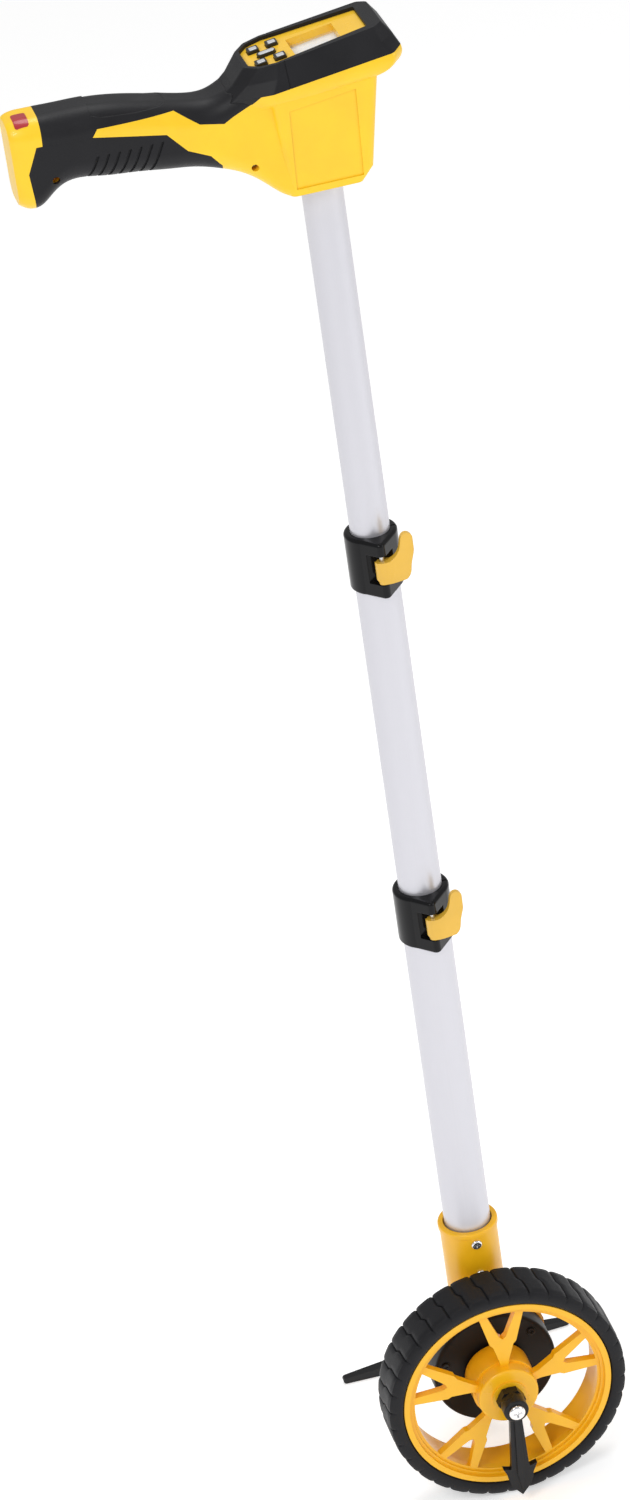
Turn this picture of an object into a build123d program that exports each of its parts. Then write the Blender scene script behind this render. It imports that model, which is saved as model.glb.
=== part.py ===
"""Digital measuring wheel on a three-part telescopic pole.

A 500 mm circumference wheel turns on one side of a moulded bracket. The bracket carries the
pole and a fold-down T-shaped stand. Two flip-lock collars clamp the three tubes. The head holds
the display, five keys and two batteries, and its grip points backwards.

Millimetres. Everything is drawn with the pole on the Z axis and the floor at z = 0. +X is the
direction of travel, so the grip points to -X, and the wheel is on the -Y side. save() moves
each piece by ROW_SHIFT, which puts the origin at the centre of the standing box's base.
"""

from build123d import *
from math import cos, pi, radians, sin
import os

os.makedirs("parts", exist_ok=True)

# ---- driving dimensions -----------------------------------------------------------------
TYRE_R = 500.0 / (2 * pi)  # half a metre per turn
TYRE_W = 32.0
WHEEL_Y = -39.0  # the wheel's middle plane
AXLE_Z = TYRE_R
RIM_LIP_R = 69.3
RIM_W = 29.0
TREAD_BLOCKS = 36
SPOKES = 5
SPOKE_PHASE = 87.0

AXLE_R = 4.0
BEARING_R = 8.0  # 16 x 8 x 5 ball bearings
BEARING_W = 5.0

TUBE_R = {"upper": 12.0, "middle": 13.5, "lower": 15.0}
TUBE_WALL = 1.2
LOWER_Z = (124.0, 437.0)
MIDDLE_Z = (345.0, 687.0)
UPPER_Z = (596.0, 960.0)
COLLAR_H = 36.5
COLLAR_Z = {"lower": 404.0, "upper": 654.5}  # undersides
COLLAR_WALL = 2.6
LEVER_Z0, LEVER_H = 9.5, 18.0  # above the collar's underside

SOCKET_R = 18.5
SOCKET_TOP = 184.5
SOCKET_BOTTOM = 121.2  # clears the encoder housing

STAND_HINGE = (20.0, 46.0)  # y, z
STAND_BAR_Y = 102.5
STAND_BAR_HALF = 80.0

FIT = 0.05  # radial running clearance
GAP = 0.2  # gap between pieces that only lie side by side

# ---- standing box, for the origin -------------------------------------------------------
BUTT_X = -173.0
SCREW_FRONT_Y = -75.6
STAND_BACK_Y = STAND_BAR_Y + 5.0
ROW_SHIFT = Vector(-(BUTT_X + STAND_BAR_HALF) / 2, -(SCREW_FRONT_Y + STAND_BACK_Y) / 2, 0)


def save(piece, name):
    """Labels a finished piece, moves it to the row frame and writes its STEP."""
    shape = piece.part if isinstance(piece, BuildPart) else piece
    solids = [solid.moved(Location(ROW_SHIFT)) for solid in shape.solids()]
    shape = solids[0] if len(solids) == 1 else Compound(solids)
    shape.label = name
    export_step(shape, f"parts/{name}.step")


def side_plane(y=0.0):
    """Looks along +Y: local x is +X, local y is +Z, and the normal points to -Y."""
    return Plane(origin=(0, y, 0), x_dir=(1, 0, 0), z_dir=(0, -1, 0))


def axle_plane(y):
    """The same, centred on the axle. Extruding by a positive amount goes to -Y."""
    return Plane(origin=(0, y, AXLE_Z), x_dir=(1, 0, 0), z_dir=(0, -1, 0))


def disc(y_back, y_front, radius, hole=0.0):
    """A round plate or ring on the axle's line, from y_back forwards to y_front."""
    with BuildPart() as made:
        with BuildSketch(axle_plane(y_back)):
            Circle(radius)
            if hole:
                Circle(hole, mode=Mode.SUBTRACT)
        extrude(amount=y_back - y_front)
    return made.part


# ---- wheel ------------------------------------------------------------------------------
HUB_BACK, HUB_FRONT = -27.0, -55.5
SPOKE_BACK, SPOKE_FRONT = -44.3, -49.5
BARREL_IN, BARREL_OUT = 63.2, 66.4


def make_rim():
    lip_back, lip_front = WHEEL_Y + RIM_W / 2, WHEEL_Y - RIM_W / 2
    with BuildPart() as rim:
        add(disc(lip_back, lip_front, BARREL_OUT, BARREL_IN))
        for back, front in ((lip_back, lip_back - 2), (lip_front + 2, lip_front)):
            add(disc(back, front, RIM_LIP_R, BARREL_IN))
        add(disc(lip_front + 2.4, lip_front - 1, 65.4), mode=Mode.SUBTRACT)
        add(disc(SPOKE_BACK, SPOKE_FRONT, BARREL_IN + 0.5, 61.2))
        # Y-shaped spokes, each from a narrow root on the hub to two prongs at the barrel
        with BuildSketch(axle_plane(SPOKE_BACK)):
            for n in range(SPOKES):
                with Locations(Rotation(0, 0, SPOKE_PHASE + n * 360 / SPOKES)):
                    half = [(16, 2.4), (24, 3.2), (36, 6.8), (38, 8.8)]
                    half = half + [(62.4, 15.4), (62.4, 10.2), (43, 2.2)]
                    Polygon(*half, (41, 0), *[(x, -y) for x, y in reversed(half)], align=None)
        extrude(amount=SPOKE_BACK - SPOKE_FRONT)
        add(disc(HUB_BACK, -46, 21.4))
        add(disc(-46, HUB_FRONT, 20.0))
        fillet(rim.edges().filter_by(GeomType.CIRCLE).group_by(Axis.Y)[0], 1.4)
        add(disc(HUB_FRONT + 0.1, HUB_FRONT - 1.2, 11.4))
        # bearing seats and the clear way for the axle
        add(disc(HUB_BACK + 1, HUB_BACK - BEARING_W, BEARING_R), mode=Mode.SUBTRACT)
        add(disc(HUB_FRONT + BEARING_W, HUB_FRONT - 2, BEARING_R), mode=Mode.SUBTRACT)
        add(disc(HUB_BACK + 1, HUB_FRONT - 2, 6.6), mode=Mode.SUBTRACT)
        # the drum's back is cored out to keep the wall even
        add(disc(HUB_BACK + 1, -42, 19.0, 13.6), mode=Mode.SUBTRACT)
    return rim


def tread_groove():
    """One groove at the top of the tyre. It crosses the whole tread, with a step in the middle."""
    half = [(0.5, 2.6), (0.5, 18), (1.7, 18), (1.7, 1.4)]
    with BuildPart() as groove:
        with BuildSketch(Plane(origin=(0, WHEEL_Y, AXLE_Z + 77.9), x_dir=(1, 0, 0), z_dir=(0, 0, 1))):
            Polygon(*half, *[(-x, -y) for x, y in half], align=None)
        extrude(amount=4)
    return groove.part


def make_tyre():
    half = TYRE_W / 2
    seat = RIM_W / 2 - 2.0 - GAP
    with BuildPart() as tyre:
        with BuildSketch(Plane(origin=(0, WHEEL_Y, AXLE_Z), x_dir=(1, 0, 0), z_dir=(0, 0, 1))):
            with BuildLine():
                Polyline((BARREL_OUT, -seat), (BARREL_OUT, seat), (RIM_LIP_R + GAP, seat))
                Line((RIM_LIP_R + GAP, seat), (RIM_LIP_R + GAP, half - 1.6))
                ThreePointArc((RIM_LIP_R + GAP, half - 1.6), (73.8, half), (77.6, half - 0.8))
                Line((77.6, half - 0.8), (78.9, half - 2.4))
                Polyline((78.9, half - 2.4), (TYRE_R, 11), (TYRE_R, -11), (78.9, 2.4 - half))
                Line((78.9, 2.4 - half), (77.6, 0.8 - half))
                ThreePointArc((77.6, 0.8 - half), (73.8, -half), (RIM_LIP_R + GAP, 1.6 - half))
                Line((RIM_LIP_R + GAP, 1.6 - half), (RIM_LIP_R + GAP, -seat))
                Line((RIM_LIP_R + GAP, -seat), (BARREL_OUT, -seat))
            make_face()
        revolve(axis=Axis((0, 0, AXLE_Z), (0, 1, 0)))
        groove = tread_groove()
        for n in range(TREAD_BLOCKS):
            spin = Rotation(0, (n + 0.5) * 360 / TREAD_BLOCKS, 0)
            add(Pos(0, 0, AXLE_Z) * spin * Pos(0, 0, -AXLE_Z) * groove, mode=Mode.SUBTRACT)
    return tyre


def make_bearing(y_back):
    """A ball bearing as its two rings and a shield between them."""
    front = y_back - BEARING_W
    with BuildPart() as bearing:
        add(disc(y_back, front, BEARING_R - 0.01, 6.9))
        add(disc(y_back, front, 5.1, AXLE_R + 0.02))
        add(disc(y_back - 0.5, front + 0.5, 7.0, 5.0))
    return bearing


def wheel_parts():
    save(make_rim(), "rim")
    save(make_tyre(), "tyre")
    save(make_bearing(HUB_BACK), "rear_bearing")
    save(make_bearing(HUB_FRONT + BEARING_W), "front_bearing")
    save(disc(HUB_BACK - 0.2, HUB_BACK - 4.0, 18.98, 13.62), "magnet_ring")


# ---- axle, pointer and encoder ----------------------------------------------------------
BRACKET_FRONT, PLATE_BACK, BRACKET_BACK = -7.0, -1.5, 9.0
ENCODER_R, ENCODER_FRONT = 41.0, -24.5
SPACER_FRONT = -63.0
BOSS_FRONT = -73.0
POINTER_TILT = -2.0  # the pointer hangs a touch behind the contact point


def make_axle():
    with BuildPart() as axle:
        add(disc(BRACKET_BACK + 7.5, -72.0, AXLE_R))
        add(disc(-60.0, -73.0, 2.1), mode=Mode.SUBTRACT)
        # shoulder that sets the rear bearing off the encoder housing
        add(disc(ENCODER_FRONT - 0.5, HUB_BACK + 0.1, 5.0, AXLE_R - 0.5))
        chamfer(axle.edges().filter_by(GeomType.CIRCLE).group_by(Axis.Y)[-1], 0.6)
    return axle


def make_pointer():
    """A ridged arm that widens down to an arrowhead, on a round boss keyed to the axle."""
    arm_back, arm_front = -65.0, -69.0
    outline = [
        (-3.9, 0), (-3.9, -8), (-5.8, -46), (-6.4, -48.6), (-11.4, -47.2), (-8.4, -54), (-8.2, -57),
        (-6.2, -63), (0, -70.6),
    ]
    with BuildPart() as pointer:
        add(disc(SPACER_FRONT - 0.1, BOSS_FRONT, 8.2))
        with BuildSketch(axle_plane(arm_back)):
            Polygon(*outline, *[(-x, z) for x, z in reversed(outline[:-1])], align=None)
        extrude(amount=arm_back - arm_front)
        # the ridge down the middle
        with BuildSketch(axle_plane(arm_front)):
            Polygon((-1.4, -6), (1.4, -6), (2.4, -52), (0, -67), (-2.4, -52), align=None)
        extrude(amount=1.4)
        fillet(pointer.edges().filter_by(GeomType.CIRCLE).group_by(Axis.Y)[0], 1.0)
        add(disc(SPACER_FRONT, -72.1, AXLE_R + 0.02), mode=Mode.SUBTRACT)
        add(disc(-72.0, BOSS_FRONT - 1, 2.4), mode=Mode.SUBTRACT)
    return Pos(0, 0, AXLE_Z) * Rotation(0, -POINTER_TILT, 0) * Pos(0, 0, -AXLE_Z) * pointer.part


def pan_screw(plane, head_r, head_h, shank_r, length):
    """A cross-recessed pan head screw. The plane lies under its head and points outwards."""
    with BuildPart() as screw:
        with BuildSketch(plane):
            Circle(head_r)
        extrude(amount=head_h)
        rings = screw.edges().filter_by(GeomType.CIRCLE).sort_by(Axis(plane.origin, plane.z_dir))
        fillet(rings[-1], head_h * 0.6)
        with BuildSketch(plane.offset(head_h)):
            Rectangle(head_r * 1.1, head_r * 0.24)
            Rectangle(head_r * 0.24, head_r * 1.1)
        extrude(amount=-head_h * 0.6, mode=Mode.SUBTRACT)
        with BuildSketch(plane):
            Circle(shank_r)
        extrude(amount=-length)
    return screw.part


def axle_parts():
    save(make_axle(), "axle")
    with BuildPart() as spacer:
        add(disc(HUB_FRONT, SPACER_FRONT, 7.0))
        with BuildSketch(axle_plane(HUB_FRONT - 1.8)):
            RegularPolygon(9.4, 6)
        extrude(amount=HUB_FRONT - 1.8 - SPACER_FRONT)
        add(disc(HUB_FRONT + 1, SPACER_FRONT - 1, AXLE_R + 0.02), mode=Mode.SUBTRACT)
    save(spacer, "axle_spacer")
    save(make_pointer(), "pointer")
    save(pan_screw(axle_plane(BOSS_FRONT), 5.4, 2.6, 2.0, 11.0), "pointer_screw")
    with BuildPart() as nut:
        with BuildSketch(axle_plane(BRACKET_BACK + 6.6)):
            RegularPolygon(7.5, 6)
            Circle(AXLE_R + 0.02, mode=Mode.SUBTRACT)
        extrude(amount=6.5)
    save(nut, "axle_nut")


def encoder_parts():
    screw_ring = [(Rotation(0, 0, 40 + 120 * n) * Pos(34.5, 0, 0)).position for n in range(3)]
    with BuildPart() as housing:
        add(disc(BRACKET_FRONT, ENCODER_FRONT, ENCODER_R))
        fillet(housing.edges().filter_by(GeomType.CIRCLE).group_by(Axis.Y)[0], 2.5)
        add(disc(BRACKET_FRONT + 1, ENCODER_FRONT + 2.2, ENCODER_R - 2.2, 7.0), mode=Mode.SUBTRACT)
        with BuildSketch(axle_plane(BRACKET_FRONT)):
            for x, z in [(p.X, p.Y) for p in screw_ring]:
                with Locations((x, z)):
                    Circle(3.6)
        extrude(amount=BRACKET_FRONT - ENCODER_FRONT - 1)
        with BuildSketch(axle_plane(BRACKET_FRONT)):
            for x, z in [(p.X, p.Y) for p in screw_ring]:
                with Locations((x, z)):
                    Circle(1.6)
            Circle(AXLE_R + 0.05)
        extrude(amount=BRACKET_FRONT - ENCODER_FRONT + 1, mode=Mode.SUBTRACT)
    save(housing, "encoder_housing")
    with BuildPart() as board:
        with BuildSketch(axle_plane(-14.5)):
            Rectangle(30, 22)
            Circle(7.6, mode=Mode.SUBTRACT)
        extrude(amount=1.6)
        with BuildSketch(axle_plane(-16.1)):
            with Locations((10.5, 6), (-10.5, 6)):
                Rectangle(4, 3)
        extrude(amount=1.5)
    save(board, "encoder_board")
    screws = []
    for p in screw_ring:
        seat = Plane(origin=(p.X, ENCODER_FRONT, AXLE_Z + p.Y), x_dir=(1, 0, 0), z_dir=(0, -1, 0))
        screws.append(pan_screw(seat, 2.8, 1.3, 1.5, 16.5))
    save(Compound(children=screws), "encoder_screws")


# ---- bracket and stand ------------------------------------------------------------------
TUBE_SCREW_Z = (176.0, 152.0)


def bell(y_back, y_front, inset=0.0):
    """Bell-shaped plate round the axle, from y_back forwards to y_front."""
    right = [(17.5, 128), (18.5, 120), (24, 112), (36, 106), (39.5, 96), (39.8, 78)]
    left = [(-39.0, 70), (-37.5, 84), (-30, 95), (-23, 103), (-19.5, 112), (-18.5, 120), (-17.5, 128)]
    with BuildPart() as plate:
        with BuildSketch(side_plane(y_back)):
            with BuildLine():
                Polyline(*right)
                ThreePointArc(right[-1], (0, AXLE_Z - 39.8), left[0])
                Polyline(*left, right[0])
            make_face()
            if inset:
                offset(amount=-inset, mode=Mode.REPLACE)
        extrude(amount=y_back - y_front)
    return plate.part


def make_bracket():
    hinge_y, hinge_z = STAND_HINGE
    with BuildPart() as bracket:
        # plate against the encoder housing, with a wall round its back
        add(bell(BRACKET_BACK, BRACKET_FRONT))
        add(bell(BRACKET_BACK + 1, PLATE_BACK, inset=2.6), mode=Mode.SUBTRACT)
        # ribs, axle boss and stand lugs
        with BuildSketch(side_plane(BRACKET_BACK - 2)):
            with Locations((0, 98)):
                Rectangle(2.4, 40)
            for lean in (-32, 32):
                with Locations(Location((0, AXLE_Z, 0), (0, 0, 1), lean)):
                    Rectangle(2.4, 74)
        extrude(amount=BRACKET_BACK - 2 - PLATE_BACK)
        add(disc(BRACKET_BACK, BRACKET_FRONT, 10.5))
        for x in (-16.0, 11.0):
            with BuildSketch(Plane(origin=(x, 0, 0), x_dir=(0, 1, 0), z_dir=(1, 0, 0))):
                Polygon((-1, 39), (-1, 58), (8, 58), (25, 50), (25, 42), (18, 39.5), align=None)
                with Locations((hinge_y, hinge_z)):
                    Circle(6.2)
            extrude(amount=5)
        # socket for the lower tube
        with BuildSketch(Plane.XY.offset(SOCKET_BOTTOM)):
            Circle(SOCKET_R)
        extrude(amount=SOCKET_TOP - SOCKET_BOTTOM)
        with BuildSketch(Plane.XY.offset(SOCKET_TOP - 3.6)):
            Circle(SOCKET_R + 0.9)
        extrude(amount=3.6)
        fillet(bracket.edges().filter_by(GeomType.CIRCLE).group_by(Axis.Z)[-1], 1.2)
        with BuildSketch(Plane.XY.offset(LOWER_Z[0])):
            Circle(TUBE_R["lower"] + FIT)
        extrude(amount=100, mode=Mode.SUBTRACT)
        with BuildSketch(Plane.XY.offset(SOCKET_TOP - 5)):
            Circle(TUBE_R["lower"] + 0.9)
        extrude(amount=6, mode=Mode.SUBTRACT)
        # holes: axle, hinge pin, tube screws
        add(disc(BRACKET_BACK + 1, BRACKET_FRONT - 1, AXLE_R + 0.02), mode=Mode.SUBTRACT)
        with BuildSketch(Plane(origin=(-30, 0, 0), x_dir=(0, 1, 0), z_dir=(1, 0, 0))):
            with Locations((hinge_y, hinge_z)):
                Circle(2.5)
        extrude(amount=60, mode=Mode.SUBTRACT)
        for z in TUBE_SCREW_Z:
            with BuildSketch(Plane(origin=(0, 0, z), x_dir=(1, 0, 0), z_dir=(0, -1, 0))):
                Circle(1.7)
            extrude(amount=30, mode=Mode.SUBTRACT)
    return bracket


def make_stand():
    """The T-shaped foot: a hinge barrel, a ribbed arm and a cross bar that tapers to its ends."""
    hinge_y, hinge_z = STAND_HINGE
    half, depth, tall = STAND_BAR_HALF, 5.0, 8.5
    with BuildPart() as stand:
        with BuildSketch(Plane.YZ.offset(-10.5)):
            with Locations((hinge_y, hinge_z)):
                Circle(5.8)
        extrude(amount=21)
        with BuildSketch(Plane.YZ.offset(-7.5)):
            Polygon(
                (hinge_y + 1, hinge_z + 5.6), (STAND_BAR_Y, 9), (STAND_BAR_Y, 1.5), (STAND_BAR_Y - 8, 1.5),
                (hinge_y - 4, hinge_z - 3.6), align=None,
            )
        extrude(amount=15)
        # the arm is an I section: a pocket in each side leaves a web
        for x, way in ((-7.6, 1), (7.6, -1)):
            with BuildSketch(Plane.YZ.offset(x)):
                Polygon(
                    (hinge_y + 9, hinge_z - 1.4), (STAND_BAR_Y - 8, 11.0), (STAND_BAR_Y - 8, 6.0),
                    (hinge_y + 7, hinge_z - 6.5), align=None,
                )
            extrude(amount=5.4 * way, mode=Mode.SUBTRACT)
        with BuildSketch(Plane(origin=(0, STAND_BAR_Y + depth, 0), x_dir=(1, 0, 0), z_dir=(0, -1, 0))):
            with BuildLine():
                Polyline((half - 2, 0), (2 - half, 0))
                ThreePointArc((2 - half, 0), (-half, 2.2), (2 - half, 4.4))
                Spline((2 - half, 4.4), (-40, 7.2), (0, tall), (40, 7.2), (half - 2, 4.4))
                ThreePointArc((half - 2, 4.4), (half, 2.2), (half - 2, 0))
            make_face()
        extrude(amount=2 * depth)
        # the bar gets narrower towards each end
        for side in (-1, 1):
            for edge in (-1, 1):
                with BuildSketch(Plane.XY.offset(-1)):
                    outer = STAND_BAR_Y + edge * (depth + 1)
                    Polygon(
                        (side * 22, outer - edge), (side * (half + 1), STAND_BAR_Y + edge * 2.2),
                        (side * (half + 1), outer), (side * 22, outer), align=None,
                    )
                extrude(amount=12, mode=Mode.SUBTRACT)
        with BuildSketch(Plane.YZ.offset(-11)):
            with Locations((hinge_y, hinge_z)):
                Circle(2.5 + FIT)
        extrude(amount=22, mode=Mode.SUBTRACT)
    return stand


def base_parts():
    save(make_bracket(), "bracket")
    save(make_stand(), "stand")
    with BuildPart() as pin:
        with BuildSketch(Plane.YZ.offset(-17.5)):
            with Locations(STAND_HINGE):
                Circle(2.5 - 0.01)
        extrude(amount=35)
        with BuildSketch(Plane.YZ.offset(-18.7)):
            with Locations(STAND_HINGE):
                Circle(4.0)
        extrude(amount=1.2 + 1.4)
    save(pin, "stand_pin")
    screws = [
        pan_screw(Plane(origin=(0, -SOCKET_R, z), x_dir=(1, 0, 0), z_dir=(0, -1, 0)), 3.4, 1.8, 1.6, 4.5)
        for z in TUBE_SCREW_Z
    ]
    save(Compound(children=screws), "tube_screws")


# ---- pole -------------------------------------------------------------------------------
def make_tube(size, span, screw_holes=()):
    with BuildPart() as tube:
        with BuildSketch(Plane.XY.offset(span[0])):
            Circle(TUBE_R[size])
            Circle(TUBE_R[size] - TUBE_WALL, mode=Mode.SUBTRACT)
        extrude(amount=span[1] - span[0])
        for z in screw_holes:
            with BuildSketch(Plane(origin=(0, 0, z), x_dir=(1, 0, 0), z_dir=(0, -1, 0))):
                Circle(1.7)
            extrude(amount=30, mode=Mode.SUBTRACT)
    return tube


def make_plug(size, outer_size, z):
    """Guide plug in a tube's lower end, with a flange that runs in the next tube."""
    bore = TUBE_R[outer_size] - TUBE_WALL
    with BuildPart() as plug:
        with BuildSketch(Plane.XY.offset(z - 4)):
            Circle(bore - FIT)
            Circle(6, mode=Mode.SUBTRACT)
        extrude(amount=4)
        with BuildSketch(Plane.XY.offset(z)):
            Circle(TUBE_R[size] - TUBE_WALL - 0.02)
            Circle(6, mode=Mode.SUBTRACT)
        extrude(amount=16)
    return plug


def collar_block(tube_r, z0):
    """Ring round the tube that runs out to a rounded corner at the front, where the lever sits."""
    r = tube_r + COLLAR_WALL
    with BuildPart() as nose:
        with BuildSketch(Plane.XY.offset(z0)) as sketch:
            Polygon((0.5, -(tube_r + 11.2)), (r * 0.80, -r * 0.60), (-r * 0.86, -r * 0.51), align=None)
            fillet(sketch.vertices().sort_by(Axis.Y)[0], 3.2)
        extrude(amount=COLLAR_H)
    with BuildPart() as block:
        with BuildSketch(Plane.XY.offset(z0)):
            Circle(r)
        extrude(amount=COLLAR_H)
        add(nose.part)
        fillet(block.edges().group_by(Axis.Z)[0], 1.2)
        fillet(block.edges().group_by(Axis.Z)[-1], 2.2)
    return block.part


def make_collar(tube_r, inner_r, z0, tube_top):
    pin = lever_pin_place(tube_r)
    with BuildPart() as collar:
        add(collar_block(tube_r, z0))
        with BuildSketch(Plane.XY.offset(z0 - 1)):
            Circle(tube_r + 0.02)
        extrude(amount=1 + tube_top - z0, mode=Mode.SUBTRACT)
        with BuildSketch(Plane.XY.offset(z0)):
            Circle(inner_r + 0.12)
        extrude(amount=COLLAR_H + 1, mode=Mode.SUBTRACT)
        # pocket for the lever, open to the front and to the right
        with BuildSketch(Plane.XY.offset(z0 + LEVER_Z0 - 0.6)):
            Polygon((-7.5, -(tube_r + 1.1)), (40, -(tube_r + 1.1)), (40, -40), (-7.5, -40), align=None)
            with Locations(pin):
                Circle(5.0)
        extrude(amount=LEVER_H + 1.2, mode=Mode.SUBTRACT)
        # the split that the lever closes, on the side that its tab covers
        with BuildSketch(Plane.XY.offset(z0 - 1)):
            with Locations((tube_r + 2, -2.5)):
                Rectangle(10, 1.2)
        extrude(amount=COLLAR_H + 2, mode=Mode.SUBTRACT)
        with BuildSketch(Plane.XY.offset(z0 + 3)):
            with Locations(pin):
                Circle(1.5)
        extrude(amount=COLLAR_H - 6, mode=Mode.SUBTRACT)
    return collar


def lever_pin_place(tube_r):
    return (0.6, -(tube_r + 6.2))


def make_lever(tube_r, z0):
    """Cam lever. A plate wraps the collar's corner and ends in a tall thumb tab on the right."""
    px, py = lever_pin_place(tube_r)
    low = z0 + LEVER_Z0
    with BuildPart() as lever:
        with BuildSketch(Plane.XY.offset(low)):
            with BuildLine():
                l1 = Spline((px - 4.4, py + 0.6), (px - 3.4, py - 2.4), (px + 0.6, py - 4.0),
                            (px + 8, py - 3.8), (px + 19.5, py - 2.0))
                Line(l1 @ 1, (px + 20.2, py + 0.8))
                l2 = Spline((px + 20.2, py + 0.8), (px + 9, py - 0.4), (px + 4.2, py + 0.8),
                            (px + 2.6, py + 2.8))
                Line(l2 @ 1, l1 @ 0)
            make_face()
        extrude(amount=32)
        # side view: low band at the pivot, tall tab at the end
        with BuildSketch(side_plane(py + 20)):
            with BuildLine():
                l3 = Polyline((px - 6, low + 14.8), (px - 6, low + 4.6), (px - 1.6, low + 0.4),
                              (px + 13, low + 0.4))
                l4 = Spline(l3 @ 1, (px + 15.6, low + 3), (px + 17.0, low + 9), (px + 19.0, low + 16),
                            (px + 20.0, low + 23), (px + 18.6, low + 28.8), (px + 15.2, low + 30.6),
                            (px + 12.0, low + 28))
                l5 = Spline(l4 @ 1, (px + 9.6, low + 20), (px + 5, low + 15.8), (px - 1, low + 14.8),
                            tangents=[(-0.3, -1), (-1, 0)])
                Line(l5 @ 1, l3 @ 0)
            make_face()
        extrude(amount=40, mode=Mode.INTERSECT)
        with BuildSketch(Plane.XY.offset(low)):
            with Locations((px, py)):
                Circle(3.3)
        extrude(amount=14.8)
        with BuildSketch(Plane.XY.offset(low - 1)):
            with Locations((px, py)):
                Circle(1.5 + FIT)
        extrude(amount=40, mode=Mode.SUBTRACT)
    return lever


def pole_parts():
    save(make_tube("lower", LOWER_Z, TUBE_SCREW_Z), "lower_tube")
    save(make_tube("middle", MIDDLE_Z), "middle_tube")
    save(make_tube("upper", UPPER_Z), "upper_tube")
    save(make_plug("middle", "lower", MIDDLE_Z[0]), "middle_tube_plug")
    save(make_plug("upper", "middle", UPPER_Z[0]), "upper_tube_plug")
    for which, outer, inner in (("lower", "lower", "middle"), ("upper", "middle", "upper")):
        z0 = COLLAR_Z[which]
        top = LOWER_Z[1] if which == "lower" else MIDDLE_Z[1]
        save(make_collar(TUBE_R[outer], TUBE_R[inner], z0, top), f"{which}_collar")
        save(make_lever(TUBE_R[outer], z0), f"{which}_lever")
        with BuildPart() as pin:
            with BuildSketch(Plane.XY.offset(z0 + 3)):
                with Locations(lever_pin_place(TUBE_R[outer])):
                    Circle(1.49)
            extrude(amount=COLLAR_H - 6)
        save(pin, f"{which}_lever_pin")


# ---- head -------------------------------------------------------------------------------
# The display's own frame: u runs up its slope, v is Y, w is proud of the yellow panel
DISPLAY = Plane(origin=(0, 0, 1001.4), x_dir=(cos(radians(8.2)), 0, sin(radians(8.2))),
                z_dir=(-sin(radians(8.2)), 0, cos(radians(8.2))))
RIM_TOP, SEAM, TRAY_BOTTOM = 2.2, -13.0, -24.0
SKIN, WALL = 2.2, 2.2  # overmould and shell thickness
# grip sections: x, top z, bottom z, half width, corner radius
GRIP = [
    (-173, 993.2, 945.5, 13.0, 8.0), (-169.5, 995.0, 943.0, 15.0, 9.5), (-160.5, 995.4, 942.8, 16.5, 10.5),
    (-152.5, 995.4, 948.8, 17.0, 11.5), (-145, 995.4, 952.8, 17.3, 12.5), (-124, 995.0, 951.8, 17.5, 13.0),
    (-105, 992.4, 949.6, 17.5, 13.0), (-86, 988.0, 946.8, 17.3, 13.0), (-70, 984.2, 944.2, 17.0, 13.0),
    (-58, 983.2, 940.8, 17.2, 12.0), (-46, 987.0, 936.2, 18.2, 10.5), (-36, 991.0, 929.6, 19.6, 8.5),
    (-25, 993.0, 920.4, 20.8, 6.0), (-12, 994.0, 918.6, 21.6, 5.0),
]
BUTT_SEAM = [(-154, 1015), (-155.5, 980.7), (-159, 980.7), (-165.5, 965.5), (-162.5, 920)]
WEDGE_UPPER = [(-124, 984), (-79.5, 983), (-66.5, 973), (-53, 970.5), (-47, 974), (-36, 979.5)]
WEDGE_LOWER = [(-127.2, 979.6), (-86, 971.5), (-75.5, 959.2), (-63, 953), (-57, 945), (-53, 920)]
TUBE_GRIP = (921.0, 962.0)
BATTERY_PLACES = [(18.9, -5.9), (18.9, 5.9)]
DOOR_Z, DOOR_HALF = (931.0, 975.0), 14.0
LANYARD = (-151.0, 959.0)
HOUSING_SCREW = (-39.6, 941.0)
KEYS = {1: (-15.2, -10.6), 2: (-26.4, -10.4), 3: (-15.2, 10.0), 4: (-26.4, 9.6)}
KEY_SIZE = 6.6
ENTER_KEY = (-20.8, -0.4)
WINDOW = (6.5, -3.0, 27.4, 24.5)  # centre u, v and size
PANEL = [(-34, 11.5), (-28.6, 17.6), (-19.5, 20.2), (-13, 19.4), (35.5, 15.4)]
TOP_OUTLINE = [(-36.8, 12), (-29.6, 20), (-19.5, 22.4), (38.6, 20.4), (43.8, 16)]
BEZEL_MIDDLE = [(-45.5, 11), (-38, 18.2), (-22, 24.4), (39.6, 24.8), (48, 18)]
SEAM_OUTLINE = [(-57.5, 9), (-49.5, 16.8), (-26.8, 26.3), (44, 28.6), (50.3, 20.5)]
TRAY_MIDDLE = [(-54, 8.5), (-46.5, 15.8), (-26.3, 25.4), (42.6, 29.2), (49.6, 20.5)]
TRAY_OUTLINE = [(-47, 8), (-41, 14), (-25, 21.5), (34, 25.5), (41.5, 18)]
BEZEL_W = -6.0  # height of the bezel's middle outline
SIDE_PANEL = [(-17, 972), (22, 977), (20.8, 923.4), (-18.2, 923.4)]  # recess in each side of the neck
THUMB_REST = [(-126, 1010), (-126, 991), (-121, 989.3), (-101, 987.2), (-86, 986.2), (-76, 988), (-71, 1010)]
RIB_GROOVES, RIB_PITCH, RIB_X = 7, 6.2, -126.0
BEZEL_GROOVE = [(-15.8, 1003), (-15.1, 1003), (-14.2, 978), (-14.9, 978)]


def both_sides(points):
    return points + [(u, -v) for u, v in reversed(points)]


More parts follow.
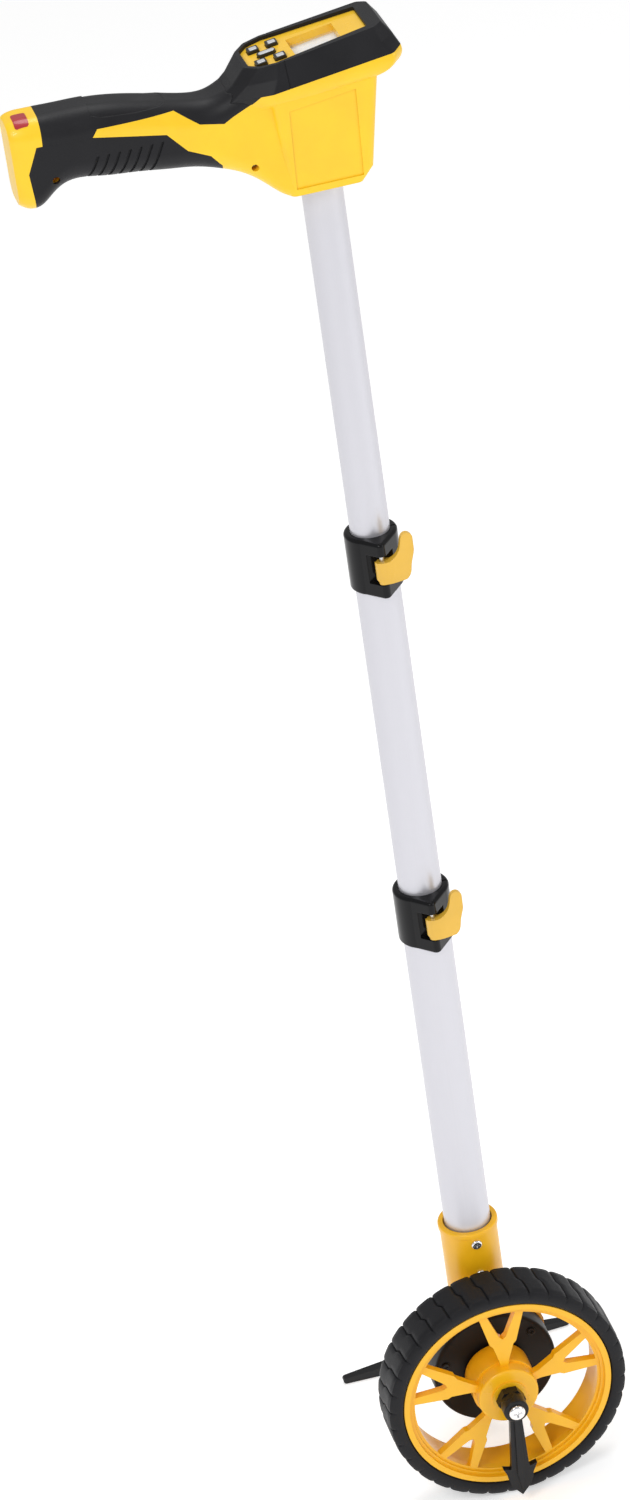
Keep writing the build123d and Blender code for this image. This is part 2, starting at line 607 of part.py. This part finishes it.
def display_loft(levels, inset=0.0, soften=4.0):
    """Solid through outlines that lie parallel to the display, given as (outline, w)."""
    with BuildPart() as made:
        for outline, w in levels:
            with BuildSketch(DISPLAY.offset(w)):
                Polygon(*both_sides(outline), align=None)
                if inset:
                    offset(amount=-inset, kind=Kind.INTERSECTION, mode=Mode.REPLACE)
                fillet(vertices(), soften)
        loft()
    return made.part


def grip_loft(inset=0.0):
    """The grip's body, from the butt to inside the neck."""
    with BuildPart() as made:
        for n, (x, top, bottom, half, corner) in enumerate(GRIP):
            at = x + inset * (1.4 if n == 0 else 1.0 if n == 1 else 0)
            with BuildSketch(Plane(origin=(at, 0, (top + bottom) / 2), x_dir=(0, 1, 0), z_dir=(1, 0, 0))):
                RectangleRounded(2 * (half - inset), top - bottom - 2 * inset, corner - 0.8 * inset)
        loft()
    return made.part


NECK = [(919.2, -22.0, 21.2, 20.8), (927.0, -22.6, 27.6, 21.4), (984.0, -26.5, 36.1, 25.4)]


def neck_block(inset=0.0):
    """Block under the display that takes the tube and the batteries."""
    with BuildPart() as made:
        for n, (z, back, front, half) in enumerate(NECK):
            at = z + inset * (1.0 if n == 0 else 0.4 if n == 1 else 0)
            with BuildSketch(Plane.XY.offset(at)):
                with Locations(((back + front) / 2, 0)):
                    RectangleRounded(front - back - 2 * inset, 2 * (half - inset), 4.2 - 0.8 * inset)
        loft(ruled=True)
    return made.part


def side_region(points, reach=45.0):
    """A side-view outline carried right across the head."""
    with BuildPart() as made:
        with BuildSketch(side_plane(reach)):
            Polygon(*points, align=None)
        extrude(amount=2 * reach)
    return made.part


def across(x, z, radius, y0, y1):
    """Cylinder along Y."""
    with BuildPart() as made:
        with BuildSketch(side_plane(y1)):
            with Locations((x, z)):
                Circle(radius)
        extrude(amount=y1 - y0)
    return made.part


def upright_cylinder(x, y, z0, z1, radius, hole=0.0):
    with BuildPart() as made:
        with BuildSketch(Plane.XY.offset(z0)):
            with Locations((x, y)):
                Circle(radius)
                if hole:
                    Circle(hole, mode=Mode.SUBTRACT)
        extrude(amount=z1 - z0)
    return made.part


def panel_slab(w0, w1, grow=0.0):
    with BuildPart() as made:
        with BuildSketch(DISPLAY.offset(w0)):
            Polygon(*both_sides(PANEL), align=None)
            if grow:
                offset(amount=grow, kind=Kind.INTERSECTION, mode=Mode.REPLACE)
            fillet(vertices(), 1.2)
        extrude(amount=w1 - w0)
    return made.part


def display_box(u, v, size_u, size_v, w0, w1, corner=0.0):
    with BuildPart() as made:
        with BuildSketch(DISPLAY.offset(w0)):
            with Locations((u, v)):
                if corner:
                    RectangleRounded(size_u, size_v, corner)
                else:
                    Rectangle(size_u, size_v)
        extrude(amount=w1 - w0)
    return made.part


def door_outline(gap=0.0):
    """The battery door's outline, seen from the front."""
    with BuildPart() as made:
        with BuildSketch(Plane.YZ.offset(24)):
            with Locations((0, (DOOR_Z[0] + DOOR_Z[1]) / 2)):
                RectangleRounded(2 * DOOR_HALF + 2 * gap, DOOR_Z[1] - DOOR_Z[0] + 2 * gap, 2.5 + gap)
        extrude(amount=20)
    return made.part


def door_hinge():
    """The door turns on its outer bottom edge."""
    (z0, _, front0, _), (z1, _, front1, _) = NECK[1:]
    z = DOOR_Z[0] + 0.8
    return (front0 + (front1 - front0) * (z - z0) / (z1 - z0) - 0.4, z)


def rib_groove(x):
    """Slanted slot across the grip's underside. x is its upper end."""
    return side_region([(x - 0.9, 968), (x + 0.9, 968), (x - 12.9, 940), (x - 14.7, 940)])


def head_parts():
    outer, inner, hollow = grip_loft(), grip_loft(SKIN), grip_loft(SKIN + WALL)
    neck, neck_hollow = neck_block(), neck_block(WALL)
    butt = side_region(BUTT_SEAM + [(-190, 920), (-190, 1015)])
    top = side_region(BUTT_SEAM[:2] + WEDGE_LOWER[:1] + WEDGE_UPPER + [(-30, 985), (-30, 1015)])
    bottom = side_region(BUTT_SEAM[1:] + list(reversed(WEDGE_LOWER)))
    skin = outer - inner
    tray = display_loft([(TRAY_OUTLINE, TRAY_BOTTOM), (TRAY_MIDDLE, SEAM - 5.5), (SEAM_OUTLINE, SEAM)])
    tray_room = [(TRAY_OUTLINE, TRAY_BOTTOM + WALL), (TRAY_MIDDLE, SEAM - 5), (SEAM_OUTLINE, SEAM + 0.1)]
    tray_hollow = display_loft(tray_room, inset=WALL, soften=3)
    lower_bezel = [(SEAM_OUTLINE, SEAM), (BEZEL_MIDDLE, BEZEL_W)]
    upper_bezel = [(BEZEL_MIDDLE, BEZEL_W), (TOP_OUTLINE, RIM_TOP)]
    bezel_solid = display_loft(lower_bezel) + display_loft(upper_bezel) + (tray & top)

    # overmoulded grips and the butt cap
    save(skin & butt, "butt_cap")
    thumb_rest = (outer - grip_loft(0.5)) & side_region(THUMB_REST)
    save((skin & top) - bezel_solid - thumb_rest, "grip_top")
    lanyard_hole = across(LANYARD[0], LANYARD[1], 2.2, -30, 30)
    grip_bottom = (skin & bottom) - lanyard_hole
    rib_skin = outer - grip_loft(0.9)
    for n in range(RIB_GROOVES):
        grip_bottom = grip_bottom - (rib_skin & rib_groove(RIB_X + n * RIB_PITCH))
    save(grip_bottom, "grip_bottom")

    # clamshell: the grip's core, the wedge that shows between the grips, the neck and the tray
    shell = outer - ((butt + top + bottom) - inner)
    shell = shell + neck + tray - bezel_solid
    hinge_x, hinge_z = door_hinge()
    x0, z0 = HOUSING_SCREW
    shell = shell - hollow - neck_hollow - tray_hollow
    inside = hollow + neck_hollow
    shell = shell + (upright_cylinder(0, 0, TUBE_GRIP[0] - 1, TUBE_GRIP[1], 14.2) & inside)
    shell = shell + (across(LANYARD[0], LANYARD[1], 4.4, -30, 30) & hollow)
    shell = shell + (across(x0, z0, 5.6, -30, 30) & hollow)
    shell = shell - upright_cylinder(0, 0, 900, UPPER_Z[1] + 0.2, TUBE_R["upper"] + 0.02)
    shell = shell - (side_region(SIDE_PANEL) - neck_block(0.8))
    shell = shell - lanyard_hole - door_outline(GAP + 0.1)
    shell = shell - across(hinge_x, hinge_z, 1.6, -8.3, 8.3)
    shell = shell - across(x0, z0, 2.1, -30, -12) - across(x0, z0, 1.15, -12, 12)
    for side, name in ((-1, "housing_left"), (1, "housing_right")):
        half = Pos(-50, side * 40, 960) * Box(300, 80, 150)
        save(shell & half, name)
    screw_seat = Plane(origin=(x0, -12, z0), x_dir=(1, 0, 0), z_dir=(0, -1, 0))
    save(pan_screw(screw_seat, 1.95, 1.3, 1.1, 20), "housing_screw")

    # battery door, its hinge and what is behind it
    door = ((neck - neck_hollow) & door_outline()) + across(hinge_x, hinge_z, 1.2, -8, 8)
    save(door, "battery_door")
    cells = [upright_cylinder(x, y, 927, 970.5, 5.2) + upright_cylinder(x, y, 970.5, 971.7, 1.9)
             for x, y in BATTERY_PLACES]
    save(Compound(children=cells), "batteries")
    clips = []
    for x, y in BATTERY_PLACES:
        clips.append(upright_cylinder(x, y, 923.6, 927, 2.0))
        clips.append(upright_cylinder(x, y, 971.7, 973.0, 3.6))
    save(Compound(children=clips), "battery_contacts")
    tray_x = BATTERY_PLACES[0][0]
    holder = Pos(tray_x + 2.0, 0, 974.0) * Box(13, 44, 2.0)
    save(holder, "battery_holder")

    # bezel, panel, window and board
    lower_hollow = [(SEAM_OUTLINE, SEAM - 0.1), (BEZEL_MIDDLE, BEZEL_W)]
    upper_hollow = [(BEZEL_MIDDLE, BEZEL_W), (TOP_OUTLINE, -2.0)]
    bezel_hollow = display_loft(lower_hollow, inset=3.0, soften=3)
    bezel_hollow = bezel_hollow + display_loft(upper_hollow, inset=3.0, soften=3)
    opening = panel_slab(-5, 5, grow=0.02)
    flange_room = panel_slab(-3.7, -2.0, grow=1.2)
    outer_bezel = display_loft(lower_bezel, inset=0.4, soften=3.6)
    outer_bezel = outer_bezel + display_loft(upper_bezel, inset=0.4, soften=3.6)
    bezel_groove = (bezel_solid - outer_bezel) & side_region(BEZEL_GROOVE)
    bezel = bezel_solid - bezel_hollow - opening - flange_room - bezel_groove
    save(bezel, "bezel_frame")
    u, v, size_u, size_v = WINDOW
    panel = panel_slab(-2.0, 0.0) + panel_slab(-3.6, -2.0, grow=1.0)
    panel = panel + display_box(u, v, size_u + 2.4, size_v + 2.4, -5.6, -1.0)
    for post_u, post_v in ((29, 13.6), (29, -13.6), (-11.4, 16.5), (-11.4, -16.5)):
        panel = panel + display_box(post_u, post_v, 3, 3, -8.0, -3.0)
    panel = panel - display_box(u, v, size_u, size_v, -7, 1)
    for key_u, key_v in KEYS.values():
        panel = panel - display_box(key_u, key_v, KEY_SIZE + 0.6, KEY_SIZE + 0.6, -9, 1, 1.1)
        panel = panel - display_box(key_u, key_v, KEY_SIZE + 1.8, KEY_SIZE + 1.8, -9, -2.2)
    panel = panel - display_box(*ENTER_KEY, 11.6, 5.8, -9, 1, 2.85)
    panel = panel - display_box(*ENTER_KEY, 12.8, 7.0, -9, -2.2)
    save(panel, "face_panel")
    save(display_box(u, v, size_u - 0.04, size_v - 0.04, -5.5, -4.3), "lcd_window")
    save(display_box(u, v, 29, 26, -8.0, -5.6), "lcd_module")
    save(display_box(1.5, 0, 62, 34, -9.6, -8.0), "main_board")
    save(display_box(-21, 0, 20.5, 29, -8.0, -4.6), "key_mat")
    for n, (key_u, key_v) in KEYS.items():
        key = display_box(key_u, key_v, KEY_SIZE, KEY_SIZE, -2.4, 1.8, 0.9)
        key = key + display_box(key_u, key_v, KEY_SIZE + 1.2, KEY_SIZE + 1.2, -3.4, -2.4)
        save(key, f"key_{n}")
    enter = display_box(*ENTER_KEY, 11, 5.2, -2.4, 1.8, 2.55)
    save(enter + display_box(*ENTER_KEY, 12.2, 6.4, -3.4, -2.4), "key_enter")

    # plain badge on the butt
    with BuildPart() as badge:
        with BuildSketch(Plane.XY.offset(980)):
            with Locations((-164.4, -6.5)):
                RectangleRounded(8.2, 13, 1.5)
        extrude(amount=30)
    badge_skin = grip_loft(-0.4) - outer
    save(badge.part & badge_skin, "badge")


if __name__ == "__main__":
    wheel_parts()
    axle_parts()
    encoder_parts()
    base_parts()
    pole_parts()
    head_parts()
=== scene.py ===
"""The measuring wheel in its finished materials, on a pale studio floor."""

from math import cos, pi, radians, sin

import bmesh
import bpy
from mathutils import Matrix, Vector


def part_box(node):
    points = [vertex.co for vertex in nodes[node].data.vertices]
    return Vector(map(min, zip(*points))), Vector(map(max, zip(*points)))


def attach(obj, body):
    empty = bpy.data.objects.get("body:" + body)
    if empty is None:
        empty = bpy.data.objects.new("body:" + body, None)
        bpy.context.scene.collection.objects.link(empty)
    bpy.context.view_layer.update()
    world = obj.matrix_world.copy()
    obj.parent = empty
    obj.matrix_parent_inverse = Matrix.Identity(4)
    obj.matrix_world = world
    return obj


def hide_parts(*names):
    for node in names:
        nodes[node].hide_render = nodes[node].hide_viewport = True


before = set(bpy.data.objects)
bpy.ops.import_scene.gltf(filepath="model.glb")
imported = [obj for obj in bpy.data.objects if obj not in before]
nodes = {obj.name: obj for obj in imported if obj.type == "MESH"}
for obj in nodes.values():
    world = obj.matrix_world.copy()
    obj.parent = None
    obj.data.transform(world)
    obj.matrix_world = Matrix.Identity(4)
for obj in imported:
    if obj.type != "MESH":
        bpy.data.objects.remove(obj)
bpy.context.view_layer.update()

tube_low, tube_high = (Vector(end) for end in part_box("lower_tube"))
POLE = Vector(((tube_low.x + tube_high.x) / 2, (tube_low.y + tube_high.y) / 2, 0))


# ---- materials --------------------------------------------------------------------------
NOISE_SPAN = (0.3, 0.7)  # nearly all of a noise texture's values lie between these
SLOW_SCALE = 45  # noise for changes of gloss and shade over a few centimetres
BUMP_DISTANCE = 0.0003  # metres


def noise(tree, scale, stretch=1.0):
    """The value of a noise texture in the piece's own space. Stretch draws it out along Z."""
    coords = tree.nodes.new("ShaderNodeTexCoord")
    mapping = tree.nodes.new("ShaderNodeMapping")
    mapping.inputs["Scale"].default_value = (1, 1, 1 / stretch)
    texture = tree.nodes.new("ShaderNodeTexNoise")
    texture.inputs["Scale"].default_value = scale
    texture.inputs["Detail"].default_value = 3.0
    tree.links.new(coords.outputs["Object"], mapping.inputs["Vector"])
    tree.links.new(mapping.outputs["Vector"], texture.inputs["Vector"])
    return texture.outputs["Fac"]


def vary_gloss(tree, shader, slow, rough, vary):
    gloss = tree.nodes.new("ShaderNodeMapRange")
    gloss.inputs["From Min"].default_value = NOISE_SPAN[0]
    gloss.inputs["From Max"].default_value = NOISE_SPAN[1]
    gloss.inputs["To Min"].default_value = max(0.02, rough - vary)
    gloss.inputs["To Max"].default_value = rough + vary
    tree.links.new(slow, gloss.inputs["Value"])
    tree.links.new(gloss.outputs["Result"], shader.inputs["Roughness"])


def vary_shade(tree, shader, slow, colour, mottle):
    shade = tree.nodes.new("ShaderNodeValToRGB")
    darker, lighter = shade.color_ramp.elements
    darker.position, lighter.position = NOISE_SPAN
    darker.color = (*[c * (1 - mottle) for c in colour], 1)
    lighter.color = (*[min(1.0, c * (1 + mottle)) for c in colour], 1)
    tree.links.new(slow, shade.inputs["Fac"])
    tree.links.new(shade.outputs["Color"], shader.inputs["Base Color"])


def add_relief(tree, shader, grain, stretch, edge):
    """Fine grain over edges that look rounded."""
    strength, scale = grain
    soft_edge = tree.nodes.new("ShaderNodeBevel")
    soft_edge.inputs["Radius"].default_value = edge / 1000
    bump = tree.nodes.new("ShaderNodeBump")
    bump.inputs["Strength"].default_value = strength
    bump.inputs["Distance"].default_value = BUMP_DISTANCE
    tree.links.new(noise(tree, scale, stretch), bump.inputs["Height"])
    tree.links.new(soft_edge.outputs["Normal"], bump.inputs["Normal"])
    tree.links.new(bump.outputs["Normal"], shader.inputs["Normal"])


def material(name, colour, rough, grain=(0.0, 1000), stretch=1.0, vary=0.06, mottle=0.05, edge=0.35,
             **sockets):
    """A Principled material with fine surface grain, softened edges, and slow changes of gloss and shade.

    grain is (strength, scale) and stretch draws it out along Z, vary is the change in roughness, mottle the
    change in shade, and edge the softening radius in millimetres. sockets are the shader's other inputs,
    with underscores for spaces.
    """
    m = bpy.data.materials.new(name)
    m.use_nodes = True
    tree = m.node_tree
    shader = tree.nodes["Principled BSDF"]
    for socket, value in sockets.items():
        shader.inputs[socket.replace("_", " ")].default_value = value
    slow = noise(tree, SLOW_SCALE)
    vary_gloss(tree, shader, slow, rough, vary)
    vary_shade(tree, shader, slow, colour, mottle)
    add_relief(tree, shader, grain, stretch, edge)
    return m


YELLOW = material("body yellow", (0.97, 0.60, 0.010), 0.40, grain=(0.12, 1600), Coat_Weight=0.12)
PANEL = material("panel yellow", (0.93, 0.56, 0.03), 0.26, grain=(0.08, 1600), edge=0.2, Coat_Weight=0.2)
ORANGE = material("wheel yellow", (0.97, 0.50, 0.006), 0.33, grain=(0.06, 900), Coat_Weight=0.15)
MUSTARD = material("lever yellow", (0.80, 0.47, 0.045), 0.36, grain=(0.06, 900), edge=0.6, Coat_Weight=0.3)
SOFT_BLACK = material("soft black", (0.010, 0.010, 0.012), 0.45, grain=(0.35, 2400), mottle=0.12,
                      Specular_IOR_Level=0.25)
GLOSS_BLACK = material("gloss black", (0.006, 0.006, 0.007), 0.14, vary=0.03, edge=0.5,
                       Specular_IOR_Level=0.2)
PLASTIC_BLACK = material("plastic black", (0.008, 0.008, 0.009), 0.30, grain=(0.08, 1400),
                         Specular_IOR_Level=0.3)
HOUSING_BLACK = material("encoder black", (0.007, 0.006, 0.006), 0.50, grain=(0.1, 1200),
                         Specular_IOR_Level=0.3)
RUBBER = material("tyre rubber", (0.008, 0.008, 0.010), 0.5, grain=(0.35, 1500), mottle=0.15, edge=0.3,
                  Specular_IOR_Level=0.25)
KEY_FACE = material("key face", (0.55, 0.56, 0.58), 0.22, edge=0.15)
KEY_SIDE = material("key rubber", (0.008, 0.008, 0.009), 0.35, edge=0.2)
ALU = material("anodised tube", (0.65, 0.645, 0.69), 0.36, grain=(0.10, 2200), stretch=60, mottle=0.02,
               Metallic=0.6)
STEEL = material("steel", (0.62, 0.62, 0.62), 0.28, grain=(0.1, 1500), Metallic=1.0)
CHROME = material("bright screw", (0.85, 0.85, 0.86), 0.12, vary=0.03, edge=0.2, Metallic=1.0)
BADGE = material("badge red", (0.40, 0.012, 0.018), 0.32, edge=0.1, Coat_Weight=0.3)
BOARD = material("board green", (0.02, 0.13, 0.05), 0.5)
SCREEN = material("display", (0.82, 0.85, 0.88), 0.30, mottle=0.02)
GLASS = material("clear window", (0.95, 0.97, 1.0), 0.04, vary=0.01, mottle=0.01, Alpha=0.12)
CELL = material("battery sleeve", (0.05, 0.05, 0.06), 0.35)

FINISHES = [
    (YELLOW, ["housing_left", "housing_right", "butt_cap", "battery_door"]),
    (PANEL, ["face_panel"]),
    (ORANGE, ["rim", "bracket"]),
    (MUSTARD, ["lower_lever", "upper_lever"]),
    (SOFT_BLACK, ["grip_top", "grip_bottom", "bezel_frame", "battery_holder"]),
    (HOUSING_BLACK, ["encoder_housing"]),
    (GLOSS_BLACK, ["lower_collar", "upper_collar"]),
    (PLASTIC_BLACK, ["pointer", "axle_spacer", "stand", "middle_tube_plug", "upper_tube_plug", "key_mat",
                     "encoder_screws"]),
    (KEY_SIDE, ["key_1", "key_2", "key_3", "key_4", "key_enter"]),
    (RUBBER, ["tyre"]),
    (ALU, ["lower_tube", "middle_tube", "upper_tube"]),
    (STEEL, ["rear_bearing", "front_bearing", "axle", "axle_nut", "stand_pin", "lower_lever_pin",
             "upper_lever_pin", "housing_screw", "battery_contacts", "magnet_ring"]),
    (CHROME, ["pointer_screw", "tube_screws"]),
    (BADGE, ["badge"]),
    (BOARD, ["main_board", "encoder_board"]),
    (SCREEN, ["lcd_module"]),
    (GLASS, ["lcd_window"]),
    (CELL, ["batteries"]),
]
for finish, names in FINISHES:
    for name in names:
        nodes[name].data.materials.clear()
        nodes[name].data.materials.append(finish)


# ---- helpers for new pieces -------------------------------------------------------------
def pole(x, y, z):
    """A point given in millimetres from the pole's axis at the floor, in the scene's metres."""
    return Vector((POLE.x + x / 1000, POLE.y + y / 1000, z / 1000))


def mesh_object(name, rows, faces, finish, body, smooth_angle):
    """A piece made of rows of points. Its edges stay sharp from smooth_angle, in degrees."""
    mesh = bpy.data.meshes.new(name)
    mesh.from_pydata([tuple(point) for row in rows for point in row], [], faces)
    work = bmesh.new()
    work.from_mesh(mesh)
    bmesh.ops.recalc_face_normals(work, faces=work.faces)
    work.to_mesh(mesh)
    work.free()
    mesh.materials.append(finish)
    mesh.shade_smooth()
    mesh.set_sharp_from_angle(angle=radians(smooth_angle))
    made = bpy.data.objects.new(name, mesh)
    bpy.context.scene.collection.objects.link(made)
    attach(made, body)
    return made


def ring_grid(rows, closed_rows=True):
    """Faces of a grid of points that closes on itself along each row, and across the rows if asked."""
    count, width = len(rows), len(rows[0])
    faces = []
    for i in range(count if closed_rows else count - 1):
        for j in range(width):
            a, b = i * width, ((i + 1) % count) * width
            faces.append((a + j, a + (j + 1) % width, b + (j + 1) % width, b + j))
    return faces


def ramp(x, a, b):
    """Rises smoothly from 0 at a to 1 at b."""
    t = min(max((x - a) / (b - a), 0.0), 1.0)
    return t * t * (3 - 2 * t)


# ---- tyre, in millimetres from the wheel's axis and its middle plane --------------------
TYRE_R = 500 / (2 * pi)  # half a metre per turn
WHEEL_Y = -39.0
BLOCKS = 36

BEAD_Y = 12.2  # the bead lies just inside the rim's lips
BEAD_RADII = (66.5, 67.0, 67.5, 68.0, 68.5, 69.0, 69.3)
SIDEWALL = [(69.6, 13.6), (70.4, 15.1), (71.8, 15.8), (73.8, 16.0),
            (75.8, 15.75), (77.2, 15.3), (78.2, 14.8)]
TREAD_HALF = 14.2
TREAD_STEPS = 14  # from the tread's edge to its middle
SHOULDER = (10.5, 15.0)  # the tread falls away between these distances
SHOULDER_DROP = 0.65

# Places along a block are in block lengths, from 0 at one groove to 1 at the next.
GROOVE_EDGE = (0.015, 0.05)
GROOVE_DEPTH = 0.8
BLOCK_END = (-0.10, 0.24)
BLOCK_DROP = 1.0
GROOVE_STEP = 0.16
GROOVE_STEP_HALF = 2.4  # half the width, across the tread, of the grooves' step
GROOVE_SLANT = 0.006
GROOVED = (74.5, 77.6)  # the grooves die out on the sidewall between these radii
BLOCK_STEPS = (0, 0.02, 0.035, 0.055, 0.09, 0.15, 0.24, 0.36, 0.5, 0.64, 0.76, 0.85, 0.91, 0.945, 0.965, 0.98)


def tread_depth(step):
    """How far the tread falls away at a place along a block: a thin groove, and a block with rounded ends."""
    edge = min(step, 1 - step)
    return GROOVE_DEPTH * (1 - ramp(edge, *GROOVE_EDGE)) + BLOCK_DROP * (1 - ramp(edge, *BLOCK_END))


def groove_shift(y):
    """How far along the tread a groove lies at y: it has a step in the middle and a slight slant."""
    return GROOVE_STEP * (ramp(y, -GROOVE_STEP_HALF, GROOVE_STEP_HALF) - 0.5) + GROOVE_SLANT * y


def tyre_profile():
    """The tyre's section from back to front, as radii and distances behind the middle plane."""
    back = [(r, BEAD_Y) for r in BEAD_RADII] + SIDEWALL
    tread = []
    for n in range(2 * TREAD_STEPS + 1):
        y = TREAD_HALF - n * TREAD_HALF / TREAD_STEPS
        tread.append((TYRE_R - SHOULDER_DROP * ramp(abs(y), *SHOULDER), y))
    return back + tread + [(r, -y) for r, y in reversed(back)]


def build_tyre():
    """The tyre with its grooved tread, in place of the CAD one. A block stands on the floor."""
    profile = tyre_profile()
    rows = []
    for block in range(BLOCKS):
        for step in BLOCK_STEPS:
            row = []
            for r, y in profile:
                angle = 2 * pi * (block + 0.5 + step + groove_shift(y)) / BLOCKS
                radius = r - tread_depth(step) * ramp(r, *GROOVED)
                row.append(pole(radius * cos(angle), WHEEL_Y + y, TYRE_R + radius * sin(angle)))
            rows.append(row)
    made = mesh_object("tyre_tread", rows, ring_grid(rows), RUBBER, "wheel", smooth_angle=28)
    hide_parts("tyre")


build_tyre()

# ---- key faces, in millimetres ----------------------------------------------------------
SLOPE = radians(8.2)
DISPLAY_Z = 1001.4  # the panel's height on the pole's axis
KEY_TOP = 1.8  # the keys' height above the panel
KEY_CROWN = [(0.0, -0.05), (0.0, 0.08), (0.25, 0.2), (0.9, 0.28), (1.7, 0.3)]  # inset, height on the key
LEAST_CORNER = 0.15
SMALL_FACE = (4.3, 4.3, 0.7)  # size up the slope, size across, corner radius
ENTER_FACE = (9.4, 3.7, 1.8)


def on_display(u, v, w):
    """A point on the display: u runs up its slope, v across it, and w is the height above the panel."""
    return pole(u * cos(SLOPE) - w * sin(SLOPE), v, DISPLAY_Z + u * sin(SLOPE) + w * cos(SLOPE))


def rounded_outline(size_u, size_v, corner, steps=6):
    points = []
    for n, (side_u, side_v) in enumerate(((1, 1), (-1, 1), (-1, -1), (1, -1))):
        for k in range(steps + 1):
            angle = pi / 2 * (n + k / steps)
            points.append((side_u * (size_u / 2 - corner) + corner * cos(angle),
                           side_v * (size_v / 2 - corner) + corner * sin(angle)))
    return points


def build_key_face(node, size_u, size_v, corner):
    """A domed, lighter face moulded on top of a key."""
    key_low, key_high = (Vector(end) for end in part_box(node))
    middle = (key_low + key_high) / 2 - POLE
    u = middle.x * 1000 * cos(SLOPE) + (middle.z * 1000 - DISPLAY_Z) * sin(SLOPE)
    v = middle.y * 1000
    rows = []
    for inset, height in KEY_CROWN:
        outline = rounded_outline(size_u - 2 * inset, size_v - 2 * inset, max(corner - inset, LEAST_CORNER))
        rows.append([on_display(u + x, v + y, KEY_TOP + height) for x, y in outline])
    faces = ring_grid(rows, closed_rows=False)
    width = len(rows[0])
    faces.append(tuple(range(width)))
    faces.append(tuple(range((len(rows) - 1) * width, len(rows) * width)))
    made = mesh_object(node + "_face", rows, faces, KEY_FACE, node, smooth_angle=50)


for n in range(1, 5):
    build_key_face(f"key_{n}", *SMALL_FACE)
build_key_face("key_enter", *ENTER_FACE)

# ---- studio, in metres ------------------------------------------------------------------
FLOOR_HALF = 6
FLOOR_Z = -0.0005  # just below the tread and the stand

floor_mesh = bpy.data.meshes.new("floor")
floor_corners = [(x * FLOOR_HALF, y * FLOOR_HALF, 0) for x, y in ((-1, -1), (1, -1), (1, 1), (-1, 1))]
floor_mesh.from_pydata(floor_corners, [], [(0, 1, 2, 3)])
floor = bpy.data.objects.new("floor", floor_mesh)
bpy.context.scene.collection.objects.link(floor)
floor.location.z = FLOOR_Z
floor_mesh.materials.append(material("floor", (0.93, 0.93, 0.93), 0.7, mottle=0.0, vary=0.0, edge=0.1,
                                     Emission_Color=(1, 1, 1, 1), Emission_Strength=0.42))

world = bpy.data.worlds.new("studio")
bpy.context.scene.world = world
bpy.context.scene.view_settings.view_transform = "Standard"
world.use_nodes = True
sky = world.node_tree.nodes["Background"]
sky.inputs["Color"].default_value = (1, 1, 1, 1)
sky.inputs["Strength"].default_value = 0.5


def area_light(name, place, aim, size, watts):
    data = bpy.data.lights.new(name, "AREA")
    data.shape = "DISK"
    data.size = size
    data.energy = watts
    lamp = bpy.data.objects.new(name, data)
    bpy.context.scene.collection.objects.link(lamp)
    lamp.location = place
    lamp.rotation_euler = (Vector(aim) - Vector(place)).to_track_quat("-Z", "Y").to_euler()


area_light("key", (-1.3, -1.6, 2.4), (0, 0, 0.6), 1.0, 24)
area_light("fill", (1.8, -1.2, 1.3), (0, 0, 0.5), 1.2, 10)
area_light("top", (0.2, 0.6, 2.6), (0, 0, 0.6), 1.0, 12)

# ---- camera, fitted to the photograph ---------------------------------------------------
YAW, PITCH, ROLL = radians(10.029), radians(30.621), radians(8.62)
CAMERA_FROM_POLE = Vector((-0.493617, -2.495143, 2.051662))
SENSOR_MM = 36
LENS_MM = 117.34

forward = Vector((sin(YAW) * cos(PITCH), cos(YAW) * cos(PITCH), -sin(PITCH)))
level = Vector((cos(YAW), -sin(YAW), 0))
below = forward.cross(level)
right = level * cos(ROLL) + below * sin(ROLL)
down = below * cos(ROLL) - level * sin(ROLL)

lens_data = bpy.data.cameras.new("camera")
lens_data.sensor_fit = "VERTICAL"
lens_data.sensor_height = SENSOR_MM
lens_data.lens = LENS_MM
lens_data.clip_end = 50
camera = bpy.data.objects.new("camera", lens_data)
bpy.context.scene.collection.objects.link(camera)
camera_axes = Matrix((right, -down, -forward)).transposed().to_4x4()
camera.matrix_world = Matrix.Translation(POLE + CAMERA_FROM_POLE) @ camera_axes
bpy.context.scene.camera = camera
